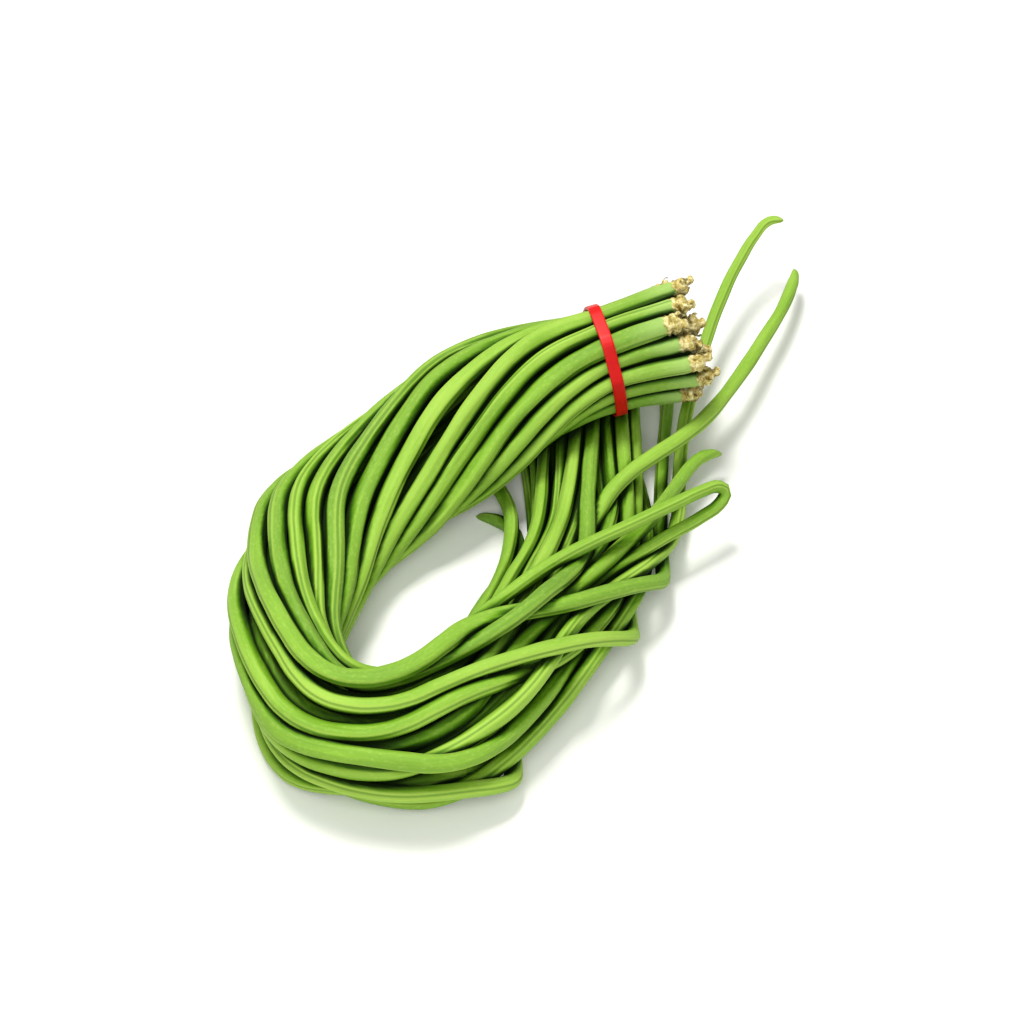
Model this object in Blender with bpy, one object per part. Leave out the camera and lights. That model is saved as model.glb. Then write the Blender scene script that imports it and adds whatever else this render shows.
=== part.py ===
"""A bunch of yardlong beans, laid down in a loop and held by one elastic band.

Twenty-nine pods are tied near their cut ends. From the tie they run left over the bunch, round the
left bend, back to the right along the front, and up again underneath the tie, so that the bunch
lies on itself. Each pod is one piece with its dried stalk stub. +Z is up, the bunch lies on z = 0,
and the origin is the middle of the underside of its box.
"""
import math

import bmesh
import bpy
import numpy as np

MM = 0.001
SEED = 11

# Pods
POD_RADIUS = 3.75 * MM          # a pod's radius near the tie
RADIUS_SPREAD = 0.25 * MM       # how much pods differ
THIN_POD_LOSS = 0.35 * MM       # the folded pod is slimmer than the rest
SLIMMING = 0.20                 # share of its radius that a pod loses towards the tip
TIE_SQUEEZE = 0.07              # share of its radius that a pod loses under the band
SHOULDER_SWELL = 0.13           # share that it gains at its shoulder
STUB_LENGTH = 12 * MM
TIP_LENGTH = 32 * MM
CUT_STAGGER = 4 * MM            # the cut ends are even to within this much either way
SKIN = 0.25 * MM                # half of the least gap between two pods
POINTS = 42                     # stations along a pod
SIDES = 6
TIP_STEPS = ((0.40, 0.92), (0.76, 0.74), (1.0, 0.40))

# Stalk stub from the cut to the shoulder: share of its length, radius and sideways offset, both
# as shares of the pod's radius.
STUB_PROFILE = (
    (0.00, 0.32, 0.34),
    (0.11, 0.43, 0.42),
    (0.22, 0.36, 0.26),
    (0.33, 0.66, 0.12),
    (0.50, 0.84, 0.04),
    (0.66, 0.68, 0.00),
    (0.82, 0.88, 0.00),
)

# Elastic band
BAND_WIDTH = 5.5 * MM
BAND_THICKNESS = 1.3 * MM
BAND_GAP = 0.3 * MM
BAND_EDGE = 0.5 * MM
BAND_POINTS = 44
BAND_ROOM = 2.8 * MM            # what passes by the tie keeps this far from the tied pods

# The bunch from its cut ends onwards, in millimetres: the middle of the bunch, half its width,
# half its height, and how far the pods have turned about that middle, in degrees.
ROUTE = (
    ("cut_ends", 88, 81, 52, 26, 24, -4),
    ("band", 42, 69, 47, 19, 19, 0),
    ("past_band", 13, 61, 42, 25, 18, 12),
    ("top_arm", -19, 45, 34.5, 32, 16.5, 33),
    ("low_top_arm", -50, 22, 25, 32, 17, 62),
    ("into_bend", -79, -7, 21, 31, 17.5, 96),
    ("bend", -92, -46, 23, 26, 20, 132),
    ("bend_out", -93, -83, 27, 19, 24, 162),
    ("front_turn", -79, -114, 24, 23, 21, 180),
    ("front", -51, -124, 24, 25, 20, 194),
    ("front_arm", -26, -114, 24, 24, 20, 208),
    ("front_end", -6, -92, 22.5, 23, 18.5, 218),
    ("turn_back", 7, -68, 20.5, 24, 17, 225),
    ("arm_start", 17, -43, 18, 25, 15.5, 228),
    ("back_arm", 25, -18, 14, 30, 12.5, 224),
    ("under", 29, 20, 11.5, 32, 10.5, 213),
    ("under_tie", 27, 52, 11, 30, 9.5, 203),
    ("past_tie", 29, 88, 10, 33, 8.5, 197),
    ("far", 32, 130, 9, 36, 8, 194),
)

# One pod hangs loose outside the bend: how far out of its slot and up it is, in millimetres.
LOOSE_POD = "kink_low"
LOOSE = (("bend", 1, 0), ("bend_out", 7, -4), ("front_turn", 4, -6), ("front", -2, 1))
SLOT_STATION = "front_arm"      # the angles in PODS are read at this station
GATHER = 0.30                   # share of the way to the middle line that pods are drawn together
GATHER_FADE = 50 * MM           # how gradually that sets in past the tie and ends
WANDER = (0.03, 0.025)          # how far a pod strays from its slot, in half widths and half heights

# Pods that leave the bunch: where they leave it, and their own way from there, in millimetres.
TAILS = {
    "fold": ("front_arm", (
        (-14, -78, 34), (25, -47, 33), (53, -27, 30), (79, -8, 27), (91, 1, 24),
        (95, 0, 20), (88, -7, 17), (57, -27, 17), (36, -43, 19), (11, -65, 22))),
    "long_cross": ("turn_back", (
        (39, -12, 13), (49, 4, 20), (64, 22, 23), (86, 42, 22), (103, 70, 20),
        (120, 105, 18), (133, 136, 17), (141, 161, 16))),
    "long_back": ("turn_back", (
        (67, -6, 8), (71, 28, 9), (76, 62, 11), (84, 88, 16), (93, 118, 22),
        (104, 142, 28), (115, 160, 34), (123, 168, 38), (130, 167, 41))),
    "right_tip": ("front_end", (
        (18, -68, 27), (39, -44, 20), (55, -21, 15), (67, -2, 13), (76, 15, 13),
        (86, 31, 12), (96, 40, 10))),
    "hole_tip": ("front_arm", ((-10, -42, 10), (4, -18, 8), (4, -3, 7), (-3, 6, 6), (-14, 13, 6))),
    "hole_edge": ("front_arm", (
        (-7, -39, 15), (-1, -14, 12), (0, 7, 10), (-5, 24, 8), (-17, 50, 7), (-26, 80, 7))),
    "kink_high": ("front_end", (
        (24, -68, 32), (41, -53, 26), (56, -42, 19), (62, -34, 13), (61, -22, 8),
        (62, 17, 8), (66, 53, 8), (69, 79, 8), (72, 110, 8))),
    "kink_mid": ("front_arm", (
        (7, -93, 38), (25, -81, 32), (39, -72, 24), (44, -64, 15),
        (43, -48, 8), (47, 0, 12), (47, 35, 13), (47, 66, 13), (49, 100, 12))),
    "kink_low": ("front", (
        (-31, -136, 11), (-18, -132, 9), (-11, -128, 8), (-10, -121, 6),
        (-9, -104, 6), (2, -72, 6), (22, -40, 6), (40, -4, 6), (47, 38, 6), (48, 80, 6))),
    "kink_front": ("front", (
        (-26, -139, 20), (-13, -135, 17), (-5, -130, 14), (-4, -123, 10),
        (-4, -105, 7), (10, -74, 7), (32, -42, 7), (46, -4, 7), (50, 38, 6), (52, 80, 6))),
    "edge_low": ("front", (
        (-27, -140, 30), (-8, -128, 25), (7, -107, 19), (19, -85, 14), (30, -64, 11),
        (38, -45, 9), (44, -15, 7), (46, 30, 6), (47, 75, 6), (49, 110, 6))),
    "edge_mid": ("front_arm", (
        (-1, -104, 37), (15, -91, 30), (28, -75, 22), (38, -57, 15), (43, -38, 11), (46, -4, 13),
        (46, 35, 14), (46, 75, 14), (48, 110, 13))),
    "dive": ("front_arm", (
        (7, -72, 35), (22, -52, 29), (32, -32, 20), (37, -10, 13),
        (39, 15, 14), (40, 50, 15), (41, 90, 14), (43, 118, 13))),
}

# Each pod's slot in the bunch: distance from the middle (1 is the edge), angle in degrees (0 is
# the outside of the loop, 90 its top, 180 the side of the hole), and either how far up y it
# reaches, in millimetres, or the name of its own tail.
PODS = (
    (0.95, -12, "kink_low"),
    (0.95, 10, "kink_front"),
    (0.95, 33, "long_back"),
    (0.95, 55, "edge_low"),
    (0.95, 78, "edge_mid"),
    (0.95, 100, "kink_mid"),
    (0.95, 123, "kink_high"),
    (0.95, 146, "dive"),
    (0.95, 168, "fold"),
    (0.95, 190, "hole_edge"),
    (0.95, 213, "hole_tip"),
    (0.95, 235, 96),
    (0.95, 258, 116),
    (0.95, 280, 84),
    (0.95, 303, 104),
    (0.95, 325, 92),
    (0.58, 5, 99),
    (0.58, 45, "right_tip"),
    (0.58, 85, 90),
    (0.58, 125, 108),
    (0.58, 165, "long_cross"),
    (0.58, 205, 101),
    (0.58, 245, 80),
    (0.58, 285, 118),
    (0.58, 325, 94),
    (0.20, 30, 106),
    (0.20, 120, 86),
    (0.20, 210, 124),
    (0.20, 300, 111),
)

# Spacing: steps, pull back to the drawn route, sinking per step, stiffness, extra clearance
SPACING_ROUNDS = (
    (200, 0.030, 0.02 * MM, 0.25, 0.0),
    (250, 0.015, 0.03 * MM, 0.20, 0.0),
    (200, 0.006, 0.01 * MM, 0.06, 0.02 * MM),
    (500, 0.000, 0.00 * MM, 0.01, 0.08 * MM),
    (400, 0.000, 0.00 * MM, 0.003, 0.10 * MM),
)
LIST_EVERY = 8                  # steps between two listings of the neighbours
REACH = 4 * MM                  # how far apart neighbours may be
BEND_REACHES = (1, 2, 4)        # stations either way over which a pod keeps its bends
FOLD_CLEAR = 30 * MM            # stretches of one pod this far apart along it keep clear too

POD_COLOUR = (0.155, 0.335, 0.045)
BAND_COLOUR = (0.72, 0.015, 0.012)

UP = np.array((0.0, 0.0, 1.0))
STATION = {row[0]: index for index, row in enumerate(ROUTE)}
MIDDLE = np.array([row[1:4] for row in ROUTE], float) * MM
HALF = np.array([row[4:6] for row in ROUTE], float) * MM
TURN = np.radians([row[6] for row in ROUTE])


# ---------------------------------------------------------------- curves

def unit(vectors):
    return vectors / np.linalg.norm(vectors, axis=-1, keepdims=True)


def run_length(points):
    steps = np.linalg.norm(np.diff(points, axis=0), axis=1)
    return np.concatenate(([0.0], np.cumsum(steps)))


def read_curve(points, lengths, wanted):
    return np.stack([np.interp(wanted, lengths, points[:, axis]) for axis in range(3)], 1)


def smooth_curve(corners, step=1 * MM):
    """A centripetal Catmull-Rom curve through the corners, read about every step."""
    corners = np.asarray(corners, float)
    first = 2 * corners[0] - corners[1]
    last = 2 * corners[-1] - corners[-2]
    corners = np.vstack((first, corners, last))
    stretches = []
    for index in range(1, len(corners) - 2):
        p0, p1, p2, p3 = corners[index - 1:index + 3]
        t1 = np.linalg.norm(p1 - p0) ** 0.5
        t2 = t1 + np.linalg.norm(p2 - p1) ** 0.5
        t3 = t2 + np.linalg.norm(p3 - p2) ** 0.5
        count = max(2, int(np.linalg.norm(p2 - p1) / step))
        t = np.linspace(t1, t2, count, endpoint=False)[:, None]
        a1 = (t1 - t) / t1 * p0 + t / t1 * p1
        a2 = (t2 - t) / (t2 - t1) * p1 + (t - t1) / (t2 - t1) * p2
        a3 = (t3 - t) / (t3 - t2) * p2 + (t - t2) / (t3 - t2) * p3
        b1 = (t2 - t) / t2 * a1 + t / t2 * a2
        b2 = (t3 - t) / (t3 - t1) * a2 + (t - t1) / (t3 - t1) * a3
        stretches.append((t2 - t) / (t2 - t1) * b1 + (t - t1) / (t2 - t1) * b2)
    stretches.append(corners[-2][None])
    return np.vstack(stretches)


def route_sides():
    """The outward and upward directions across the bunch at every station of the route."""
    line = smooth_curve(MIDDLE)
    ahead = []
    for middle in MIDDLE:
        nearest = int(np.argmin(np.linalg.norm(line - middle, axis=1)))
        low = max(0, nearest - 4)
        high = min(len(line) - 1, nearest + 4)
        ahead.append(line[high] - line[low])
    ahead = unit(np.array(ahead))
    outward = unit(np.cross(ahead, UP))
    upward = np.cross(outward, ahead)
    return outward, upward


def pod_curve(slot, sides, rng):
    """A pod's way along the bunch, and where on it the pod starts, leaves the bunch and ends."""
    distance, angle, ending = slot
    outward, upward = sides
    has_tail = isinstance(ending, str)
    last = STATION[TAILS[ending][0]] if has_tail else len(ROUTE) - 1
    stray = rng.normal(0.0, 1.0, (len(ROUTE), 2)) * WANDER
    stray[:STATION["past_band"]] = 0.0
    start_angle = math.radians(angle) - TURN[STATION[SLOT_STATION]]
    corners = []
    for index in range(last + 1):
        turned = start_angle + TURN[index]
        across = HALF[index, 0] * (distance * math.cos(turned) + stray[index, 0])
        above = HALF[index, 1] * (distance * math.sin(turned) + stray[index, 1])
        corners.append(MIDDLE[index] + outward[index] * across + upward[index] * above)
    if ending == LOOSE_POD:
        for name, out, up in LOOSE:
            index = STATION[name]
            corners[index] += (outward[index] * out + upward[index] * up) * MM
    if has_tail:
        corners.extend(np.array(point) * MM for point in TAILS[ending][1])
    line = smooth_curve(corners)
    line[:, 2] = np.maximum(line[:, 2], POD_RADIUS)
    lengths = run_length(line)
    start = CUT_STAGGER * (1.2 + rng.uniform(-1.0, 1.0))
    leaving = corners[min(last, STATION["front_arm"])]
    leaves = lengths[int(np.argmin(np.linalg.norm(line - leaving, axis=1)))]
    end = lengths[-1]
    if not has_tail:
        past = (line[:, 1] > ending * MM) & (lengths > lengths[-1] / 2)
        end = lengths[int(np.argmax(past))]
    return line, lengths, start, leaves, end


def place_stations(line, lengths, start, end):
    """A pod's stations: one at the cut, three in the tip, the rest closer where it bends."""
    tip_start = end - TIP_LENGTH
    fine = np.linspace(start + STUB_LENGTH, tip_start, 500)
    step = fine[1] - fine[0]
    points = read_curve(line, lengths, fine)
    bend = np.zeros(len(fine))
    bend[1:-1] = np.linalg.norm(points[2:] - 2 * points[1:-1] + points[:-2], axis=1) / step ** 2
    bend = np.convolve(bend, np.ones(13) / 13, "same")
    density = np.sqrt(np.clip(bend, 0.0, 200.0) + 9.0)
    share = np.concatenate(([0.0], np.cumsum((density[1:] + density[:-1]) / 2)))
    share /= share[-1]
    count = POINTS - 1 - len(TIP_STEPS)
    body = np.interp(np.linspace(0.0, 1.0, count), share, fine)
    tip = [tip_start + TIP_LENGTH * step[0] for step in TIP_STEPS]
    return read_curve(line, lengths, np.concatenate(([start], body, tip)))


def pod_radii(points, radius):
    """A pod's radius at its stations: swollen shoulder, squeezed at the tie, slim to the tip."""
    lengths = run_length(points)
    late = np.clip((lengths / lengths[-1] - 0.48) / 0.47, 0.0, 1.0)
    radii = radius * (1.0 - SLIMMING * late ** 2 * (3.0 - 2.0 * late))
    tie = np.exp(-((lengths - 46 * MM) / (11 * MM)) ** 2)
    shoulder = np.exp(-((lengths - 20 * MM) / (11 * MM)) ** 2)
    radii *= 1.0 - TIE_SQUEEZE * tie + SHOULDER_SWELL * shoulder
    for offset, (_, share) in enumerate(TIP_STEPS):
        radii[offset - len(TIP_STEPS)] = radii[-1 - len(TIP_STEPS)] * share
    return radii


# ---------------------------------------------------------------- spacing

def closest_shares(start_a, run_a, start_b, run_b):
    """Where two straight stretches pass closest, as shares along each."""
    between = start_a - start_b
    aa = (run_a * run_a).sum(1) + 1e-16
    bb = (run_b * run_b).sum(1) + 1e-16
    ab = (run_a * run_b).sum(1)
    ra = (run_a * between).sum(1)
    rb = (run_b * between).sum(1)
    cross = aa * bb - ab * ab
    skew = cross > 1e-9 * aa * bb
    share_a = np.where(skew, (ab * rb - ra * bb) / np.where(skew, cross, 1.0), 0.5)
    share_a = np.clip(share_a, 0.0, 1.0)
    share_b = np.clip((ab * share_a + rb) / bb, 0.0, 1.0)
    share_a = np.clip((ab * share_b - ra) / aa, 0.0, 1.0)
    return share_a, share_b


def gathered(points, line, leaves):
    """The stations drawn nearer to the middle of the bunch, up to where the pod leaves it."""
    lengths = run_length(points)
    nearest = [line[int(np.argmin(np.linalg.norm(line - point, axis=1)))] for point in points]
    share = GATHER * np.clip((leaves - lengths) / GATHER_FADE, 0.0, 1.0)
    share *= np.clip(lengths / GATHER_FADE - 1.0, 0.0, 1.0)
    return points + share[:, None] * (np.array(nearest) - points)


class Spacing:
    """Moves the pods apart until none touch, and lets them settle onto each other.

    A pod is a row of round stretches between its stations. Each stretch keeps its length, each
    pod keeps its own bends, and stretches of two pods that come too close are moved apart.
    """

    def __init__(self, chains, radii, targets):
        self.pods, self.points = chains.shape[:2]
        self.at = chains.reshape(-1, 3).copy()
        self.drawn = targets.reshape(-1, 3)
        self.radius = radii.reshape(-1) + SKIN
        index = np.arange(self.pods * self.points).reshape(self.pods, self.points)
        self.first = index[:, :-1].reshape(-1)
        self.second = index[:, 1:].reshape(-1)
        self.pod = np.repeat(np.arange(self.pods), self.points - 1)
        self.length = np.linalg.norm(self.at[self.second] - self.at[self.first], axis=1)
        along = np.stack([run_length(chain) for chain in chains])
        self.along = ((along[:, 1:] + along[:, :-1]) / 2).reshape(-1)
        self.leans = {reach: self.share_ahead(along, reach) for reach in BEND_REACHES}
        self.drawn_bends = {reach: self.bends(chains, reach) for reach in BEND_REACHES}
        self.tied = self.under_band()

    def share_ahead(self, along, reach):
        """How much of the way between two stations lies past the one between them."""
        before, at, after = along[:, :-2 * reach], along[:, reach:-reach], along[:, 2 * reach:]
        return ((after - at) / (after - before))[..., None]

    def bends(self, chains, reach):
        lean = self.leans[reach]
        between = lean * chains[:, :-2 * reach] + (1.0 - lean) * chains[:, 2 * reach:]
        return between - chains[:, reach:-reach]

    def under_band(self):
        middle = (self.at[self.first] + self.at[self.second]) / 2
        near = np.linalg.norm(middle - MIDDLE[STATION["band"]], axis=1) < 35 * MM
        return near & (self.along < 120 * MM)

    def list_neighbours(self):
        middle = (self.at[self.first] + self.at[self.second]) / 2
        half = self.length / 2
        apart = np.linalg.norm(middle[:, None] - middle[None], axis=2)
        widest = 2 * self.radius.max()
        near = np.triu(apart < half[:, None] + half[None] + widest + REACH, 1)
        one, two = np.nonzero(near)
        same = self.pod[one] == self.pod[two]
        far_along = np.abs(self.along[one] - self.along[two]) > FOLD_CLEAR
        keep = ~same | far_along
        self.one = one[keep]
        self.two = two[keep]

    def shortfalls(self, extra):
        """How much each pair of neighbours is too close, with where and which way."""
        a1, b1 = self.first[self.one], self.second[self.one]
        a2, b2 = self.first[self.two], self.second[self.two]
        run1 = self.at[b1] - self.at[a1]
        run2 = self.at[b2] - self.at[a2]
        share1, share2 = closest_shares(self.at[a1], run1, self.at[a2], run2)
        near1 = self.at[a1] + run1 * share1[:, None]
        apart = near1 - self.at[a2] - run2 * share2[:, None]
        distance = np.linalg.norm(apart, axis=1)
        wanted = self.radius[a1] * (1 - share1) + self.radius[b1] * share1
        wanted = wanted + self.radius[a2] * (1 - share2) + self.radius[b2] * share2 + extra
        axis = band_axis()
        beside = np.abs(((near1 - MIDDLE[STATION["band"]]) * axis).sum(1)) < BAND_WIDTH / 2 + 4 * MM
        passes_by = (self.tied[self.one] != self.tied[self.two]) & beside
        wanted = wanted + np.where(passes_by, BAND_ROOM, 0.0)
        way = apart / np.maximum(distance, 1e-9)[:, None]
        ends = (a1, b1, a2, b2)
        shares = (1 - share1, share1, 1 - share2, share2)
        return wanted - distance, way, ends, shares

    def move_apart(self, extra):
        short, way, ends, shares = self.shortfalls(extra)
        hit = short > 0.0
        scale = sum(share[hit] ** 2 for share in shares)
        moved = np.zeros_like(self.at)
        count = np.zeros(len(self.at))
        for end, share, sign in zip(ends, shares, (1, 1, -1, -1)):
            push = (share[hit] / scale * short[hit] * sign)[:, None] * way[hit]
            np.add.at(moved, end[hit], push)
            np.add.at(count, end[hit], share[hit])
        self.at += 0.5 * moved / np.maximum(1.0, np.sqrt(count))[:, None]

    def keep_lengths(self):
        chains = self.at.reshape(self.pods, self.points, 3)
        lengths = self.length.reshape(self.pods, -1)
        for odd in (0, 1):
            wanted = lengths[:, odd::2]
            pairs = wanted.shape[1]
            head = chains[:, odd:odd + 2 * pairs:2]
            foot = chains[:, odd + 1:odd + 1 + 2 * pairs:2]
            run = foot - head
            now = np.linalg.norm(run, axis=2)
            change = run * ((now - wanted) / now * 0.4)[..., None]
            head += change
            foot -= change

    def keep_bends(self, stiffness):
        chains = self.at.reshape(self.pods, self.points, 3)
        for reach in BEND_REACHES:
            change = stiffness * (self.bends(chains, reach) - self.drawn_bends[reach])
            chains[:, reach:-reach] += change
            chains[:, :-2 * reach] -= 0.5 * change * self.leans[reach]
            chains[:, 2 * reach:] -= 0.5 * change * (1.0 - self.leans[reach])

    def settle(self, steps, pull, sink, stiffness, extra):
        for step in range(steps):
            if step % LIST_EVERY == 0:
                self.list_neighbours()
            self.at += pull * (self.drawn - self.at)
            self.at[:, 2] -= sink
            self.keep_bends(stiffness)
            self.move_apart(extra)
            self.move_apart(extra)
            self.keep_lengths()
            self.at[:, 2] = np.maximum(self.at[:, 2], self.radius)

    def least_gap(self):
        """The least gap between two pods' round stretches."""
        self.list_neighbours()
        short = self.shortfalls(0.0)[0]
        return 2 * SKIN - short.max()


# ---------------------------------------------------------------- meshes

def station_frames(points):
    """Sideways and upright directions at every station, turned as little as a sixth allows."""
    ahead = unit(np.diff(points, axis=0))
    tangents = np.vstack((ahead[:1], unit(ahead[1:] + ahead[:-1]), ahead[-1:]))
    side = unit(np.cross(tangents[0], UP))
    frames = []
    for tangent in tangents:
        side = unit(side - tangent * (side * tangent).sum())
        upright = np.cross(side, tangent)
        level = np.cross(tangent, UP)
        if np.linalg.norm(level) > 0.3:
            angle = math.atan2((level * upright).sum(), (level * side).sum())
            sixth = 2 * math.pi / SIDES
            angle -= sixth * round(angle / sixth)
            side = side * math.cos(angle) + upright * math.sin(angle)
            upright = np.cross(side, tangent)
        frames.append((side, upright))
    return frames


def ring(centre, side, upright, radius):
    angles = [2 * math.pi * index / SIDES for index in range(SIDES)]
    return [centre + radius * (math.cos(a) * side + math.sin(a) * upright) for a in angles]


def stub_rings(points, frame, radius, rng):
    """The dried stalk stub: a knobbly run from the cut to the pod's shoulder."""
    side, upright = frame
    lean = rng.uniform(0.0, 2 * math.pi)
    way = math.cos(lean) * side + math.sin(lean) * upright
    rings = []
    for share, width, offset in STUB_PROFILE:
        width *= rng.uniform(0.9, 1.1)
        centre = points[0] + share * (points[1] - points[0]) + way * offset * radius
        rings.append(ring(centre, side, upright, radius * width))
    return rings


def lay_flat(rings):
    """Flattens what lies on the table, so that the bunch rests on real faces."""
    pressed = 1.3 * MM
    for corners in rings:
        for corner in corners:
            if corner[2] < pressed:
                corner[2] = 0.0


def pod_rings(points, radii, rng):
    frames = station_frames(points)
    rings = stub_rings(points, frames[0], radii[0], rng)
    for point, frame, radius in zip(points[1:], frames[1:], radii[1:]):
        rings.append(ring(point, *frame, radius))
    lay_flat(rings)
    return rings


def loft(bm, rings, closed):
    """Skins a row of rings; an open row gets end faces, a closed one joins up."""
    rows = [[bm.verts.new(corner) for corner in corners] for corners in rings]
    pairs = list(zip(rows, rows[1:]))
    if closed:
        pairs.append((rows[-1], rows[0]))
    for low, high in pairs:
        for index in range(len(low)):
            after = (index + 1) % len(low)
            bm.faces.new((low[index], low[after], high[after], high[index]))
    if not closed:
        bm.faces.new(rows[0])
        bm.faces.new(rows[-1])
    bmesh.ops.recalc_face_normals(bm, faces=bm.faces)


def new_object(name, rings, closed, material, offset):
    bm = bmesh.new()
    loft(bm, rings, closed)
    bmesh.ops.translate(bm, verts=bm.verts, vec=offset)
    mesh = bpy.data.meshes.new(name)
    bm.to_mesh(mesh)
    bm.free()
    mesh.shade_smooth()
    mesh.set_sharp_from_angle(angle=math.radians(62))
    mesh.materials.append(material)
    obj = bpy.data.objects.new(name, mesh)
    bpy.context.scene.collection.objects.link(obj)
    return obj


def new_material(name, colour, roughness):
    material = bpy.data.materials.new(name)
    material.use_nodes = True
    shader = material.node_tree.nodes["Principled BSDF"]
    shader.inputs["Base Color"].default_value = (*colour, 1.0)
    shader.inputs["Roughness"].default_value = roughness
    shader.inputs["Metallic"].default_value = 0.0
    return material


# ---------------------------------------------------------------- elastic band

def band_axis():
    """The direction of the bunch where the band is, towards the cut ends."""
    return unit(MIDDLE[STATION["cut_ends"]] - MIDDLE[STATION["past_band"]])


def convex_outline(points):
    """The convex outline of flat points, counter-clockwise."""
    points = sorted(set(points))
    halves = []
    for ordered in (points, points[::-1]):
        chain = []
        for point in ordered:
            while len(chain) > 1:
                (ax, ay), (bx, by) = chain[-2:]
                if (bx - ax) * (point[1] - ay) - (by - ay) * (point[0] - ax) > 0:
                    break
                chain.pop()
            chain.append(point)
        halves.extend(chain[:-1])
    return np.array(halves)


def tied_outline(chains, radii, across, upright):
    """The tied pods' outline under the band, in the band's own plane."""
    centre = MIDDLE[STATION["band"]]
    axis = band_axis()
    marks = []
    for chain, radius in zip(chains, radii):
        lengths = run_length(chain)
        wanted = np.linspace(0.0, 110 * MM, 400)
        points = read_curve(chain, lengths, wanted) - centre
        widths = np.interp(wanted, lengths, radius)
        inside = np.abs((points * axis).sum(1)) < BAND_WIDTH / 2 + 1.5 * MM
        for point, width in zip(points[inside][::3], widths[inside][::3]):
            x, y = (point * across).sum(), (point * upright).sum()
            for angle in np.linspace(0.0, 2 * math.pi, 36, endpoint=False):
                marks.append((x + width * math.cos(angle), y + width * math.sin(angle)))
    return convex_outline(marks)


def even_loop(outline, count):
    closed = np.vstack((outline, outline[:1]))
    lengths = run_length(closed)
    wanted = np.linspace(0.0, lengths[-1], count, endpoint=False)
    return np.stack([np.interp(wanted, lengths, closed[:, axis]) for axis in range(2)], 1)


def band_rings(chains, radii):
    """The band's cross-sections, one after another round the tied pods."""
    axis = band_axis()
    across = unit(np.cross(axis, UP))
    upright = np.cross(across, axis)
    outline = even_loop(tied_outline(chains, radii, across, upright), BAND_POINTS)
    run = unit(np.roll(outline, -1, axis=0) - np.roll(outline, 1, axis=0))
    outward = np.stack((run[:, 1], -run[:, 0]), 1)
    half = BAND_WIDTH / 2
    low, high = 2 * BAND_GAP, 2 * BAND_GAP + BAND_THICKNESS
    section = (
        (-half, low), (-half, high - BAND_EDGE), (BAND_EDGE - half, high),
        (half - BAND_EDGE, high), (half, high - BAND_EDGE), (half, low))
    rings = []
    for point, way in zip(outline, outward):
        corners = []
        for along, out in section:
            flat = point + way * out
            corners.append(MIDDLE[STATION["band"]] + axis * along + across * flat[0] + upright * flat[1])
        rings.append(corners)
    return rings


# ---------------------------------------------------------------- the bunch

def clear_scene():
    for obj in list(bpy.data.objects):
        bpy.data.objects.remove(obj)


def draw_pods(rng):
    """Every pod's stations and radii as first drawn, and where spacing pulls the stations."""
    sides = route_sides()
    middle_line = smooth_curve(MIDDLE)
    chains = []
    radii = []
    targets = []
    for slot in PODS:
        line, lengths, start, leaves, end = pod_curve(slot, sides, rng)
        points = place_stations(line, lengths, start, end)
        targets.append(gathered(points, middle_line, leaves - start))
        radius = POD_RADIUS + RADIUS_SPREAD * rng.uniform(-1.0, 1.0)
        if slot[2] == "fold":
            radius -= THIN_POD_LOSS
        chains.append(points)
        radii.append(pod_radii(points, radius))
    return np.array(chains), np.array(radii), np.array(targets)


def box_offset(all_rings):
    corners = np.array([corner for rings in all_rings for corners in rings for corner in corners])
    low, high = corners.min(0), corners.max(0)
    return (-(low[0] + high[0]) / 2, -(low[1] + high[1]) / 2, -low[2])


def main():
    clear_scene()
    rng = np.random.default_rng(SEED)
    chains, radii, targets = draw_pods(rng)
    spacing = Spacing(chains, radii, targets)
    for settings in SPACING_ROUNDS:
        spacing.settle(*settings)
    chains = spacing.at.reshape(chains.shape)
    pods = [pod_rings(points, row, rng) for points, row in zip(chains, radii)]
    band = band_rings(chains, radii)
    offset = box_offset(pods)
    for index, rings in enumerate(pods, 1):
        name = f"bean_{index:02d}"
        shade = rng.uniform(0.85, 1.15)
        colour = tuple(channel * shade for channel in POD_COLOUR)
        new_object(name, rings, False, new_material(name + "_green", colour, 0.42), offset)
    new_object("band", band, True, new_material("band_red", BAND_COLOUR, 0.5), offset)
    lengths = [run_length(chain)[-1] for chain in chains]
    print(f"pods {min(lengths):.3f} to {max(lengths):.3f} m long")
    print(f"least gap between two pods {spacing.least_gap() / MM:.2f} mm")
    print("moved by", [round(value / MM, 2) for value in offset], "mm to the middle of the box")


main()
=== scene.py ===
# %% [markdown]
# # A bunch of yardlong beans
# Over two dozen pods, each about half a metre long or longer, are laid down in a loop and held by
# one red elastic band near their cut ends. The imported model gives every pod's route and thickness,
# as a faceted solid. This lesson puts a detailed pod on each of those routes, with its seams, its
# seed swellings, its dried stalk stub and its curved tip, and stretches a soft band round the tie.

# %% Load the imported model
import math

import bmesh
import bpy
import numpy as np
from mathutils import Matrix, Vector
from mathutils.bvhtree import BVHTree


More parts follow.
